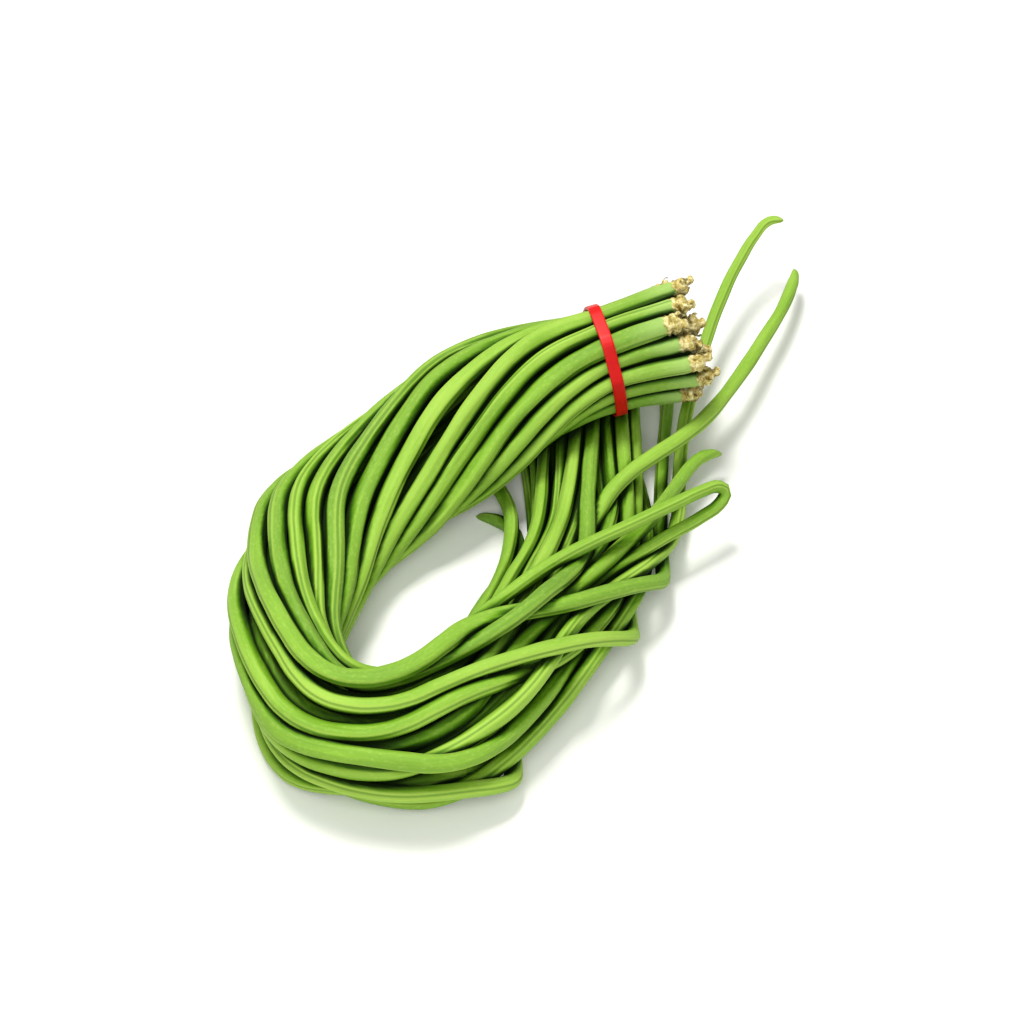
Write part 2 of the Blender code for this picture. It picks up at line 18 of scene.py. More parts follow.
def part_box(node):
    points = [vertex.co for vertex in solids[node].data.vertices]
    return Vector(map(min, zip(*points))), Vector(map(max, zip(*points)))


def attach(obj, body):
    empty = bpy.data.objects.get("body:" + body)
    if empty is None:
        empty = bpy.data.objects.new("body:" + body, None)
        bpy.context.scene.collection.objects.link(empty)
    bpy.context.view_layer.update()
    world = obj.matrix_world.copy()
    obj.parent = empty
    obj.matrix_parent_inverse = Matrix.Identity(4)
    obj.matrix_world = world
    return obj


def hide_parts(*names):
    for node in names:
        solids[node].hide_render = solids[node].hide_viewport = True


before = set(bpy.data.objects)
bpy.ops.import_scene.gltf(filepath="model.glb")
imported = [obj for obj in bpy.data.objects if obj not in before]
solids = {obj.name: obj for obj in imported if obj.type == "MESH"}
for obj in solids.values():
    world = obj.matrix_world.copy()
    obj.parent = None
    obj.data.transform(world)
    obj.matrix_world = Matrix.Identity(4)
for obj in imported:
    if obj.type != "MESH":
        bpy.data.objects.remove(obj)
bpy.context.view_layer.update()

MM = 0.001
bean_names = sorted(name for name in solids if name.startswith("bean_"))

# %% [markdown]
# ## Camera, floor and light
# The bunch lies on a table and is seen from in front, from halfway up. A short lens close by would
# make the near pods look swollen, so a long one stands back. A real studio would hang a soft box
# over the table: here a small area lamp stands high up, a little behind on the left, so that its
# light rakes over the pods and every gap between them stays dark. A weaker lamp in front opens the
# shadows, and a pale sky reaches all the rest.

# %% Camera
VIEW_HEIGHT = math.radians(50.0)
VIEW_DISTANCE = 1.0735
look_at = Vector((-0.0099, -0.0090, 0.020))
back = Vector((0.0, -math.cos(VIEW_HEIGHT), math.sin(VIEW_HEIGHT)))
bpy.ops.object.camera_add(
    location=look_at + back * VIEW_DISTANCE, rotation=(math.pi / 2 - VIEW_HEIGHT, 0.0, 0.0))
camera = bpy.context.object
camera.name = "camera"
camera.data.lens = 85.0
camera.data.sensor_width = 36.0
bpy.context.scene.camera = camera
print("camera at", [round(value, 3) for value in camera.location])


# %% Selecting by hand
def deselect():
    """Leaves nothing selected and nothing active, in object mode."""
    if bpy.context.object and bpy.context.object.mode != "OBJECT":
        bpy.ops.object.mode_set(mode="OBJECT")
    bpy.ops.object.select_all(action="DESELECT")
    bpy.context.view_layer.objects.active = None


def pick_only(piece):
    """Makes one piece the only selected one, and the active one."""
    deselect()
    piece.select_set(True)
    bpy.context.view_layer.objects.active = piece


def apply_modifiers(piece):
    """Applies all of a piece's modifiers, in their order."""
    pick_only(piece)
    for modifier in list(piece.modifiers):
        bpy.ops.object.modifier_apply(modifier=modifier.name)


# %% Lamps and sky
FRONT_OF_BUNCH = Vector((0.0, -0.10, 0.02))
SKY_COLOUR = (1.0, 1.0, 0.98, 1.0)
SKY_STRENGTH = 0.45


def add_lamp(name, aim, azimuth, elevation, distance, size, power, colour):
    """A square soft lamp that looks at a point from an angle round the table."""
    azimuth, elevation = math.radians(azimuth), math.radians(elevation)
    way = Vector((math.cos(elevation) * math.cos(azimuth),
                  math.cos(elevation) * math.sin(azimuth), math.sin(elevation)))
    deselect()
    bpy.ops.object.light_add(type="AREA", location=aim + way * distance)
    lamp = bpy.context.object
    lamp.name = name
    lamp.rotation_euler = way.to_track_quat("Z", "Y").to_euler()
    lamp.data.size = size
    lamp.data.energy = power
    lamp.data.color = colour


add_lamp("key_lamp", aim=look_at, azimuth=122, elevation=72, distance=1.3, size=0.38, power=16.2,
         colour=(1.0, 0.99, 0.95))
add_lamp("fill_lamp", aim=FRONT_OF_BUNCH, azimuth=-95, elevation=52, distance=0.8, size=0.5,
         power=3.7, colour=(1.0, 1.0, 0.96))

world = bpy.data.worlds.new("studio")
bpy.context.scene.world = world
world.use_nodes = True
sky = world.node_tree.nodes["Background"]
sky.inputs["Color"].default_value = SKY_COLOUR
sky.inputs["Strength"].default_value = SKY_STRENGTH
bpy.context.scene.view_settings.view_transform = "Standard"
print("two lamps and a pale sky of strength", SKY_STRENGTH)

# %% [markdown]
# ## Materials as expressions
# A material is a small graph of nodes. It could be written out node by node, but then it is hard
# to read, so a wire class lets numbers be added and multiplied with plain operators, and one
# method adds any other node, with its settings first and then what flows into it.


# %% Wires
class Wire:
    """A number that flows through a material; arithmetic on it adds Math nodes."""

    def __init__(self, finish, socket):
        self.finish = finish
        self.socket = socket

    def math(self, operation, *values):
        return self.finish.node("ShaderNodeMath", {"operation": operation}, dict(enumerate(values)))

    def __add__(self, other):
        return self.math("ADD", self, other)

    def __sub__(self, other):
        return self.math("SUBTRACT", self, other)

    def __rsub__(self, other):
        return self.math("SUBTRACT", other, self)

    def __mul__(self, other):
        return self.math("MULTIPLY", self, other)

    def __abs__(self):
        return self.math("ABSOLUTE", self)

    __radd__ = __add__
    __rmul__ = __mul__


# %% Finishes
class Finish:
    """A material, with its nodes added by what they do."""

    def __init__(self, name, **uniform):
        self.material = bpy.data.materials.new(name)
        self.material.use_nodes = True
        self.nodes = self.material.node_tree.nodes
        self.links = self.material.node_tree.links
        self.shader = self.nodes["Principled BSDF"]
        for socket, value in uniform.items():
            self.shader.inputs[socket.replace("_", " ")].default_value = value

    def node(self, kind, settings=None, inputs=None, output=0):
        """Adds a node: its settings first, then the values or wires of its sockets."""
        node = self.nodes.new(kind)
        for name, value in (settings or {}).items():
            if name == "stops":
                self.set_stops(node.color_ramp, value)
            else:
                setattr(node, name, value)
        for name, value in (inputs or {}).items():
            self.feed(node.inputs[name], value)
        return Wire(self, node.outputs[output])

    def set_stops(self, ramp, stops):
        while len(ramp.elements) < len(stops):
            ramp.elements.new(1.0)
        for element, (place, colour) in zip(ramp.elements, stops):
            element.position = place
            element.color = (*colour, 1.0)

    def feed(self, socket, value):
        """Links a wire to a socket, or sets the socket's own value."""
        if isinstance(value, Wire):
            self.links.new(value.socket, socket)
        elif isinstance(value, tuple) and len(value) == 3 and socket.type == "RGBA":
            socket.default_value = (*value, 1.0)
        else:
            socket.default_value = value

    def object_place(self):
        return self.node("ShaderNodeTexCoord", output=3)

    def number(self, name):
        """A number that each corner of the piece keeps under a name."""
        return self.node("ShaderNodeAttribute", {"attribute_name": name}, output=2)

    def vector(self, name):
        """A place that each corner of the piece keeps under a name."""
        return self.node("ShaderNodeAttribute", {"attribute_name": name}, output=1)

    def axis(self, vector, index):
        return self.node("ShaderNodeSeparateXYZ", None, {0: vector}, output=index)

    def moved(self, vector, distance):
        """A place moved by the same distance along all three axes."""
        move = self.node("ShaderNodeCombineXYZ", None, {0: distance, 1: distance, 2: distance})
        return self.node("ShaderNodeVectorMath", {"operation": "ADD"}, {0: vector, 1: move})

    def noise(self, vector, scale, detail=2.0, rough=0.5):
        """Soft noise from 0 to 1, its size in pieces per metre along each axis."""
        scaled = self.node("ShaderNodeVectorMath", {"operation": "MULTIPLY"}, {0: vector, 1: scale})
        inputs = {"Vector": scaled, "Scale": 1.0, "Detail": detail, "Roughness": rough}
        return self.node("ShaderNodeTexNoise", {"noise_dimensions": "3D"}, inputs)

    def step(self, value, start, end):
        """Rises smoothly from 0 to 1 while the value goes from start to end."""
        settings = {"interpolation_type": "SMOOTHSTEP", "clamp": True}
        return self.node("ShaderNodeMapRange", settings, {"Value": value, 1: start, 2: end})

    def ramp(self, value, stops):
        """A colour for each value, blended between stops."""
        return self.node("ShaderNodeValToRGB", {"stops": stops}, {"Fac": value})

    def blend(self, share, first, second):
        """Mixes two colours by a share."""
        inputs = {0: share, 6: first, 7: second}
        return self.node("ShaderNodeMix", {"data_type": "RGBA"}, inputs, output=2)

    def bump(self, height, distance, strength):
        inputs = {"Height": height, "Distance": distance, "Strength": strength}
        return self.node("ShaderNodeBump", None, inputs)

    def use(self, **wires):
        """Links wires to the shader's own sockets."""
        for socket, wire in wires.items():
            self.links.new(wire.socket, self.shader.inputs[socket.replace("_", " ")])

    def cover(self, piece):
        piece.data.materials.clear()
        piece.data.materials.append(self.material)


# %% Floor
FLOOR_SIZE = 8.0
PAPER_SHADES = ((0.87, 0.87, 0.86), (0.90, 0.90, 0.89))
deselect()
bpy.ops.mesh.primitive_plane_add(size=FLOOR_SIZE)
floor = bpy.context.object
floor.name = "floor"
paper = Finish("pale_floor", Roughness=0.75)
mottle = paper.noise(paper.object_place(), (9.0, 9.0, 9.0), detail=4.0)
paper.use(Base_Color=paper.blend(mottle, *PAPER_SHADES))
paper.cover(floor)
print("floor laid,", FLOOR_SIZE, "m wide")

# %% [markdown]
# ## Reading the pods' routes
# The pods lie over and under each other, so a route drawn again by eye would run through its
# neighbours. The solids already lie free of each other: each is a row of six-cornered rings.
# Walking on from its cut face, corner to corner, meets the rings one after another, so their
# middles give the pod's route and their widths its thickness. Only the band tells which end is the
# cut one: that end is close to it.

# %% Walk along a solid
RING_CORNERS = 6
RINGS_INWARDS = 5
FACING = 0.8


def layers(start):
    """Corners sorted by how many edges lie between them and the start."""
    seen = set(start)
    rows = [list(start)]
    while rows[-1]:
        fresh = []
        for vertex in rows[-1]:
            for edge in vertex.link_edges:
                other = edge.other_vert(vertex)
                if other not in seen:
                    seen.add(other)
                    fresh.append(other)
        rows.append(fresh)
    return rows[:-1]


def middle(corners):
    return sum((corner.co for corner in corners), Vector()) / len(corners)


def cut_face(bm, near):
    """The corners of the flat face at the end that is nearest to a point."""
    one_end = layers([bm.verts[0]])[-1][0]
    other_end = layers([one_end])[-1][0]
    corner = min((one_end, other_end), key=lambda vertex: (vertex.co - near).length)
    outwards = (corner.co - middle(layers([corner])[RINGS_INWARDS])).normalized()
    facing = {face for face in bm.faces if face.normal.dot(outwards) > FACING}
    faces = facing & set(corner.link_faces)
    while True:
        beside = {other for face in faces for edge in face.edges for other in edge.link_faces}
        fresh = (beside & facing) - faces
        if not fresh:
            break
        faces |= fresh
    return list({vertex for face in faces for vertex in face.verts})


def read_route(node, near):
    """A pod's ring middles and radii, from its cut end to its tip."""
    bm = bmesh.new()
    bm.from_mesh(node.data)
    bmesh.ops.remove_doubles(bm, verts=bm.verts, dist=0.001 * MM)
    bm.verts.ensure_lookup_table()
    rings = layers(cut_face(bm, near))
    if any(len(ring) != RING_CORNERS for ring in rings):
        raise ValueError(node.name + " is not a row of six-cornered rings")
    middles = [middle(ring) for ring in rings]
    radii = [sum((corner.co - centre).length for corner in ring) / RING_CORNERS
             for ring, centre in zip(rings, middles)]
    bm.free()
    return middles, radii


# %% Routes of all pods
CUT_ENDS_FROM_BAND = Vector((0.046, 0.012, 0.008))
band_low, band_high = (Vector(corner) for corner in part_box("band"))
cut_ends = (band_low + band_high) / 2 + CUT_ENDS_FROM_BAND
routes = {name: read_route(solids[name], cut_ends) for name in bean_names}


def route_length(middles):
    return sum((after - before).length for before, after in zip(middles, middles[1:]))


lengths = [route_length(middles) for middles, radii in routes.values()]
print("pods from", round(min(lengths), 3), "to", round(max(lengths), 3), "m")

# %% [markdown]
# ## One straight pod
# A pod is a long tube of two halves, joined along its top and its underside. It starts with the
# dried remains of its stalk, a lumpy tan knob, swells into a pale shoulder and ends in a short
# curved beak. A curve with a round profile would be quicker, but it has no place for hooks, or for
# seams that end before the stub, so the pod is modelled once, straight along X, from a disc: the
# disc is extruded and widened station by station. Then the long faces are cut finely, because a
# bend only looks smooth on short faces.

# %% Sizes
SIDES = 24
POD_RADIUS = 4.0 * MM
MODEL_LENGTH = 0.600
STUB_END = 9.5 * MM
BODY_START = 34 * MM
BODY_END = MODEL_LENGTH - 34 * MM

# Millimetres from the cut end, then radius and shift towards the upper seam, both as shares of the
# pod's radius
STUB_STATIONS = (
    (0.0, 0.30, 0.44), (0.6, 0.44, 0.48), (1.4, 0.50, 0.48), (2.2, 0.42, 0.40), (3.0, 0.47, 0.28),
    (3.8, 0.80, 0.15), (4.7, 1.02, 0.07), (5.7, 1.09, 0.03), (6.6, 1.02, 0.0), (7.4, 0.88, 0.0),
    (8.2, 0.95, 0.0), (8.9, 1.04, 0.0), (9.4, 1.02, 0.0), (9.8, 0.95, 0.0), (10.4, 0.97, 0.0),
    (11.5, 1.0, 0.0), (13.5, 1.0, 0.0), (16.0, 1.0, 0.0), (19.0, 1.0, 0.0), (23.0, 1.0, 0.0),
    (28.0, 1.0, 0.0), (34.0, 1.0, 0.0),
)
# The same, but in millimetres from the tip
TIP_STATIONS = (
    (34.0, 1.0, 0.0), (29.0, 0.99, 0.0), (24.0, 0.97, 0.0), (19.0, 0.93, 0.0), (14.5, 0.88, 0.04),
    (10.5, 0.84, 0.10), (7.4, 0.79, 0.20), (5.0, 0.71, 0.32), (3.2, 0.61, 0.44), (1.9, 0.50, 0.56),
    (1.0, 0.37, 0.68), (0.3, 0.22, 0.78), (0.0, 0.08, 0.82),
)
stations = [(place * MM, share * POD_RADIUS, shift * POD_RADIUS)
            for place, share, shift in STUB_STATIONS]
stations += [(MODEL_LENGTH - place * MM, share * POD_RADIUS, shift * POD_RADIUS)
             for place, share, shift in TIP_STATIONS]
print(len(stations), "stations along", MODEL_LENGTH, "m")


# %% Extrude the pod
def extrude_to(station, before):
    """Extrudes the selected disc from one station to the next, and sizes it."""
    distance, radius, shift = station
    last_distance, last_radius, last_shift = before
    move = (distance - last_distance, 0.0, shift - last_shift)
    bpy.ops.mesh.extrude_region_move(TRANSFORM_OT_translate={"value": move})
    share = radius / last_radius
    bpy.ops.transform.resize(value=(1.0, share, share), center_override=(distance, 0.0, shift))


start, start_radius, start_shift = stations[0]
deselect()
bpy.ops.mesh.primitive_circle_add(
    vertices=SIDES, radius=start_radius, fill_type="NGON", location=(start, 0.0, start_shift),
    rotation=(0.0, math.pi / 2, 0.0))
pod = bpy.context.object
pod.name = "straight_pod"
bpy.ops.object.transform_apply(location=True, rotation=True, scale=True)
bpy.ops.object.mode_set(mode="EDIT")
bpy.ops.mesh.select_all(action="SELECT")
for before, station in zip(stations, stations[1:]):
    extrude_to(station, before)
bpy.ops.object.mode_set(mode="OBJECT")
print("extruded", len(pod.data.vertices), "corners")


# %% Select by place
def select_where(piece, test, mode="VERT"):
    """In edit mode, selects the corners, edges or faces that pass a test, and counts them."""
    bpy.ops.mesh.select_mode(type=mode)
    bpy.ops.mesh.select_all(action="DESELECT")
    bm = bmesh.from_edit_mesh(piece.data)
    chosen = [part for part in {"VERT": bm.verts, "EDGE": bm.edges, "FACE": bm.faces}[mode]
              if test(part)]
    for part in chosen:
        part.select_set(True)
    bm.select_flush_mode()
    bmesh.update_edit_mesh(piece.data)
    return len(chosen)


# %% Cut the long faces
# Subdivide makes 100 cuts at most, so a second pass halves the faces that are still long
BODY_CUTS = 100
LONG_EDGE = 3 * MM
body_length = BODY_END - BODY_START


def run_along(edge):
    return abs(edge.verts[0].co.x - edge.verts[1].co.x)


pick_only(pod)
bpy.ops.object.mode_set(mode="EDIT")
long_edges = select_where(pod, lambda edge: run_along(edge) > body_length / 2, "EDGE")
bpy.ops.mesh.subdivide(number_cuts=BODY_CUTS)
select_where(pod, lambda edge: run_along(edge) > LONG_EDGE, "EDGE")
bpy.ops.mesh.subdivide(number_cuts=1)
bpy.ops.mesh.select_all(action="SELECT")
bpy.ops.mesh.normals_make_consistent(inside=False)
bpy.ops.object.mode_set(mode="OBJECT")
print("cut", long_edges, "long edges,", len(pod.data.polygons), "faces")

# %% [markdown]
# ### Seams and hooks
# Where its two halves join, a pod has a pair of fine ridges with a groove between them, on its
# upper side and again on its underside, and its sides are a little flat. A bump in the material
# would show the ridges but not change the outline, so they are real: each is a row of corners,
# selected by its angle round the pod and pushed out or in. Two small hooks on the stub are what
# is left of the dried flower stalk, and are extruded out of single faces.

# %% Seam ridges
GROOVE = 0.90
RIDGE = 1.045
RIDGE_ANGLE = 360 // SIDES
WIDTH_AT_SEAM = 1.035
SIDE_FLATNESS = 0.095
SEAM_START = 12 * MM
SEAM_END = MODEL_LENGTH - 8 * MM
ROW_TOLERANCE = 4  # degrees


def angle_round(place):
    return math.degrees(math.atan2(place.y, place.z)) % 360.0


def section_share(angle):
    """How far out the skin is at an angle: a little flat, with a groove between two ridges."""
    flat = WIDTH_AT_SEAM - SIDE_FLATNESS * math.sin(math.radians(angle)) ** 2
    from_seam = min(angle % 180, 180 - angle % 180)
    return flat * {0: GROOVE, RIDGE_ANGLE: RIDGE}.get(from_seam, 1.0)


def push_row(piece, angle, share):
    """Scales the corners at one angle round the pod, along its length, away from its middle."""
    def in_row(vertex):
        turned = (angle_round(vertex.co) - angle + 180) % 360 - 180
        return SEAM_START < vertex.co.x < SEAM_END and abs(turned) < ROW_TOLERANCE

    count = select_where(piece, in_row)
    bpy.ops.transform.resize(value=(1.0, share, share), center_override=(0.0, 0.0, 0.0))
    return count


pick_only(pod)
bpy.ops.object.mode_set(mode="EDIT")
pushed = [push_row(pod, angle, section_share(angle)) for angle in range(0, 360, RIDGE_ANGLE)]
print("pushed", len(pushed), "rows,", sum(pushed), "corners")

# %% Hooks on the stub
# Millimetres from the cut end, angle, and the steps: millimetres along and out, and change of size
UPPER_HOOK = (5.7, 70, ((-0.3, 0.5, 1.2), (-0.9, 0.5, 0.95), (-1.1, -0.1, 0.8), (-0.5, -0.5, 0.6)))
LOWER_HOOK = (3.1, 250, ((-0.3, 0.6, 1.3), (-0.8, 0.4, 0.95), (-0.9, -0.2, 0.7)))


def grow_hook(piece, place, angle, steps):
    """Extrudes a hook out of the face nearest to a place and an angle round the stub."""
    way = Vector((0.0, math.sin(math.radians(angle)), math.cos(math.radians(angle))))
    aim = Vector((place * MM, 0.0, 0.0)) + way * POD_RADIUS
    bm = bmesh.from_edit_mesh(piece.data)
    chosen = min(bm.faces, key=lambda face: (face.calc_center_median() - aim).length)
    select_where(piece, lambda face: face.index == chosen.index, "FACE")
    centre = chosen.calc_center_median().copy()
    for along, out, size in steps:
        move = Vector((along * MM, 0.0, 0.0)) + way * out * MM
        bpy.ops.mesh.extrude_region_move(TRANSFORM_OT_translate={"value": move})
        centre += move
        bpy.ops.transform.resize(value=(size, size, size), center_override=centre)


grow_hook(pod, *UPPER_HOOK)
grow_hook(pod, *LOWER_HOOK)
bpy.ops.object.mode_set(mode="OBJECT")
print("seams and hooks made,", len(pod.data.vertices), "corners")

# %% [markdown]
# ## Lay a pod on each route
# No two pods are alike: each has its own length, swells here and there where seeds sit, is
# pressed flat in places and has its own lumps on its stub. Each could be modelled along its own
# route, but a straight pod is far easier to shape, so every route gets a copy of it. The copy's
# plain middle is stretched until it is as long as the route, three noises move its skin in and
# out, and a Curve modifier bends it along a smooth line through the ring middles. The line's own
# radius at each point makes the pod thicker or slimmer there.

# %% Groups of corners
WEIGHT_RISE = 14 * MM
HAIR = 0.01 * MM


def body_weight(x):
    """Rises from the stub and from the tip to 1 over the plain middle."""
    return max(0.0, min(1.0, min(x - STUB_END, MODEL_LENGTH - x) / WEIGHT_RISE))


GROUPS = {
    "stub": lambda x: float(x < STUB_END),
    "body": body_weight,
    "stretch": lambda x: float(BODY_START + HAIR < x < BODY_END - HAIR),
    "tip": lambda x: float(x > BODY_END - HAIR),
}


def group_corners(name, weight_at):
    """A vertex group whose weights depend on how far along the pod a corner is."""
    group = pod.vertex_groups.new(name=name)
    count = 0
    for vertex in pod.data.vertices:
        weight = weight_at(vertex.co.x)
        if weight > 0.0:
            group.add([vertex.index], weight, "REPLACE")
            count += 1
    return count


counts = {name: group_corners(name, weight_at) for name, weight_at in GROUPS.items()}
print("corners in each group:", counts)


# %% Select a group
def select_group(name):
    """In edit mode, selects the corners of one group."""
    bpy.ops.mesh.select_mode(type="VERT")
    bpy.ops.mesh.select_all(action="DESELECT")
    bpy.ops.object.vertex_group_set_active(group=name)
    bpy.ops.object.vertex_group_select()


# %% Noise for swellings, flats and lumps
NOISE_SIZE = 0.25
NOISE_STEP = (0.013, 0.11, 0.07)


def cloud(name, depth):
    """A cloudy noise; each step of depth adds a finer one to it."""
    texture = bpy.data.textures.new(name, "CLOUDS")
    texture.noise_scale = NOISE_SIZE
    texture.noise_depth = depth
    return texture


# Noise, its stretch along and across the pod, how far it moves the skin, and the corners it moves
UNEVENNESS = (
    (cloud("seed_swellings", 0), (0.085, 0.017, 0.017), 0.9 * MM, "body"),
    (cloud("flats", 1), (0.320, 0.011, 0.011), 1.3 * MM, "body"),
    (cloud("stub_lumps", 2), (0.008, 0.008, 0.008), 2.2 * MM, "stub"),
)


def noise_place(number, stretch):
    """An empty that carries a noise: its own place for each pod, and the noise's stretch."""
    deselect()
    bpy.ops.object.empty_add(location=[step * number for step in NOISE_STEP])
    place = bpy.context.object
    place.scale = stretch
    return place


def displace(piece, texture, place, distance, group):
    """Moves a group's corners in and out by a noise."""
    modifier = piece.modifiers.new(texture.name, "DISPLACE")
    modifier.texture = texture
    modifier.texture_coords = "OBJECT"
    modifier.texture_coords_object = place
    modifier.strength = distance
    modifier.mid_level = 0.5
    modifier.vertex_group = group


# %% Copy, stretch and swell
def copy_pod(name, length):
    """A straight pod of its own length."""
    piece = pod.copy()
    piece.data = pod.data.copy()
    piece.name = name
    bpy.context.scene.collection.objects.link(piece)
    pick_only(piece)
    change = length - MODEL_LENGTH
    share = 1.0 + change / body_length
    bpy.ops.object.mode_set(mode="EDIT")
    select_group("stretch")
    bpy.ops.transform.resize(value=(share, 1.0, 1.0), center_override=(BODY_START, 0.0, 0.0))
    select_group("tip")
    bpy.ops.transform.translate(value=(change, 0.0, 0.0))
    bpy.ops.object.mode_set(mode="OBJECT")
    return piece


def roughen(piece, number):
    """Gives a pod its own swellings, flats and lumps."""
    places = []
    for texture, stretch, distance, group in UNEVENNESS:
        places.append(noise_place(number, stretch))
        displace(piece, texture, places[-1], distance, group)
    apply_modifiers(piece)
    for place in places:
        bpy.data.objects.remove(place)


# %% A smooth line through the ring middles
STUB_RINGS = 7
# Of the stub's rings, this one lies on the pod's axis, this share of the way from its cut end
ON_AXIS_RING = 5
ON_AXIS_SHARE = 0.66
TIP_RINGS = 3
FIRST_EASED = 3
EASING = (0.40, -0.42) * 4
# The solids keep a small gap between them, and slightly plumper pods nearly close it
PLUMPNESS = 1.055


def eased(points):
    """Takes small kinks out of a route but leaves its bends: each step moves in, the next out."""
    points = [point.copy() for point in points]
    for share in EASING:
        before = [point.copy() for point in points]
        for index in range(FIRST_EASED, len(points) - TIP_RINGS - 1):
            between = (before[index - 1] + before[index + 1]) / 2
            points[index] += share * (between - before[index])
    return points


def along_axis(middles, radii):
    """A pod's axis and radii, without the stub's other rings, which lie beside the axis."""
    start = middles[STUB_RINGS]
    on_axis = middles[ON_AXIS_RING]
    cut = start + (on_axis - start) / (1.0 - ON_AXIS_SHARE)
    points = eased([cut, on_axis] + list(middles[STUB_RINGS:]))
    widths = [radii[STUB_RINGS]] * 2 + list(radii[STUB_RINGS:])
    widths[-TIP_RINGS:] = [widths[-TIP_RINGS - 1]] * TIP_RINGS
    return points, widths


def smooth_line(name, points, widths, first_tilt, twist):
    """A Bezier curve along an axis, as thick at each point as the solid is."""
    data = bpy.data.curves.new(name, "CURVE")
    data.dimensions = "3D"
    data.resolution_u = 16
    data.twist_mode = "MINIMUM"
    data.use_radius = True
    data.use_stretch = True
    data.use_deform_bounds = True
    spline = data.splines.new("BEZIER")
    spline.bezier_points.add(len(points) - 1)
    for index, (point, width) in enumerate(zip(points, widths)):
        knot = spline.bezier_points[index]
        knot.co = point
        knot.radius = PLUMPNESS * width / POD_RADIUS
        knot.tilt = first_tilt + twist * index / len(points)
        knot.handle_left_type = "AUTO"
        knot.handle_right_type = "AUTO"
    line = bpy.data.objects.new(name, data)
    bpy.context.scene.collection.objects.link(line)
    return line


# %% Keep each corner's straight place
def corner_places(mesh):
    """All corners' coordinates, one after another."""
    places = np.empty(len(mesh.vertices) * 3)
    mesh.vertices.foreach_get("co", places)
    return places


def store(mesh, name, values):
    """Keeps a number for each corner under a name."""
    attribute = mesh.attributes.new(name, "FLOAT", "POINT")
    attribute.data.foreach_set("value", values)


def remember_straight(piece, pattern_shift, tone):
    """Stores where each corner was before bending, for patterns that follow the pod."""
    mesh = piece.data
    places = corner_places(mesh)
    straight = mesh.attributes.new("straight", "FLOAT_VECTOR", "POINT")
    straight.data.foreach_set("vector", places)
    store(mesh, "from_tip", places[0::3].max() - places[0::3])
    store(mesh, "tone", np.full(len(mesh.vertices), tone))
    store(mesh, "own_pattern", np.full(len(mesh.vertices), pattern_shift))


# %% Bend all pods
PATTERN_STEP = 0.37
MOST_TWIST = 1.6
rng = np.random.default_rng(7)


def bend_along(piece, line):
    """Bends a straight pod along a line, for good."""
    bend = piece.modifiers.new("bend", "CURVE")
    bend.object = line
    bend.deform_axis = "POS_X"
    apply_modifiers(piece)


def rest_on_table(piece):
    """Flattens whatever a bend has pushed under the table's surface."""
    places = corner_places(piece.data)
    places[2::3] = np.maximum(places[2::3], 0.0)
    piece.data.vertices.foreach_set("co", places)
    piece.data.update()


pods = []
for number, name in enumerate(bean_names, 1):
    points, widths = along_axis(*routes[name])
    first_tilt = rng.uniform(0.0, 2 * math.pi)
    twist = rng.uniform(-MOST_TWIST, MOST_TWIST)
    line = smooth_line(name + "_line", points, widths, first_tilt, twist)
    piece = copy_pod(name + "_skin", route_length(points))
    roughen(piece, number)
    remember_straight(piece, PATTERN_STEP * number, rng.uniform(0.0, 1.0))
    bend_along(piece, line)
    rest_on_table(piece)
    bpy.data.objects.remove(line)
    piece.data.shade_smooth()
    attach(piece, "root")
    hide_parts(name)
    pods.append(piece)
bpy.data.objects.remove(pod)
print(len(pods), "pods bent,", sum(len(piece.data.polygons) for piece in pods), "faces")

# %% [markdown]
# ## How deep each spot lies
# Between tightly packed pods hardly any light gets in, so the gaps of a real bunch look nearly
# black. An Ambient Occlusion node could find such spots while rendering, but its noise and its
# cost would come back with every picture, so each corner measures and keeps its own depth once. A
# fan of short rays looks outwards from it: the more of them meet another pod, and the sooner, the
# deeper that corner lies.

# %% Look out from every corner
RAYS = 14
SIGHT = 16 * MM
OFF_SKIN = 0.1 * MM
FAN_WIDTH = 0.96


def fan(count):
    """Directions over a half sphere about +Z, more of them near its top."""
    golden = math.pi * (3.0 - math.sqrt(5.0))
    directions = []
    for index in range(count):
        low = math.sqrt((index + 0.5) / count) * FAN_WIDTH
        angle = golden * index
        directions.append(Vector((low * math.cos(angle), low * math.sin(angle),
                                  math.sqrt(1.0 - low * low))))
    return directions


def shared_tree(pieces):
    """One search tree of all the pieces' faces, for rays."""
    corners = []
    faces = []
    for piece in pieces:
        first = len(corners)
        corners.extend(vertex.co.copy() for vertex in piece.data.vertices)
        faces.extend([first + index for index in face.vertices] for face in piece.data.polygons)
    return BVHTree.FromPolygons(corners, faces)


def depth_at(vertex, tree, directions):
    """How deep a corner lies, from 0 in the open to 1 where every ray is stopped at once."""
    turn = vertex.normal.to_track_quat("Z", "Y")
    start = vertex.co + vertex.normal * OFF_SKIN
    total = 0.0
    for direction in directions:
        distance = tree.ray_cast(start, turn @ direction, SIGHT)[3]
        if distance is not None:
            total += 1.0 - distance / SIGHT
    return total / len(directions)


tree = shared_tree(pods)
outward = fan(RAYS)
mean_depths = []
for piece in pods:
    depths = [depth_at(vertex, tree, outward) for vertex in piece.data.vertices]
    store(piece.data, "depth", depths)
    mean_depths.append(sum(depths) / len(depths))
print("mean depth of a pod", round(min(mean_depths), 2), "to", round(max(mean_depths), 2))

# %% [markdown]
# ## Pod skin
# A fresh pod is mid green and hardly shines. Lighter and darker streaks run along it, some pods
# are paler than others, the seam's groove is dark between its two pale ridges, and the skin turns
# pale next to the stalk. An image wrapped round the pod would show where it is joined, and would
# be the same on all of them. Instead every pattern is worked out from the place each point had on
# the straight pod, so the streaks follow every bend, and a shift for each pod makes them differ.

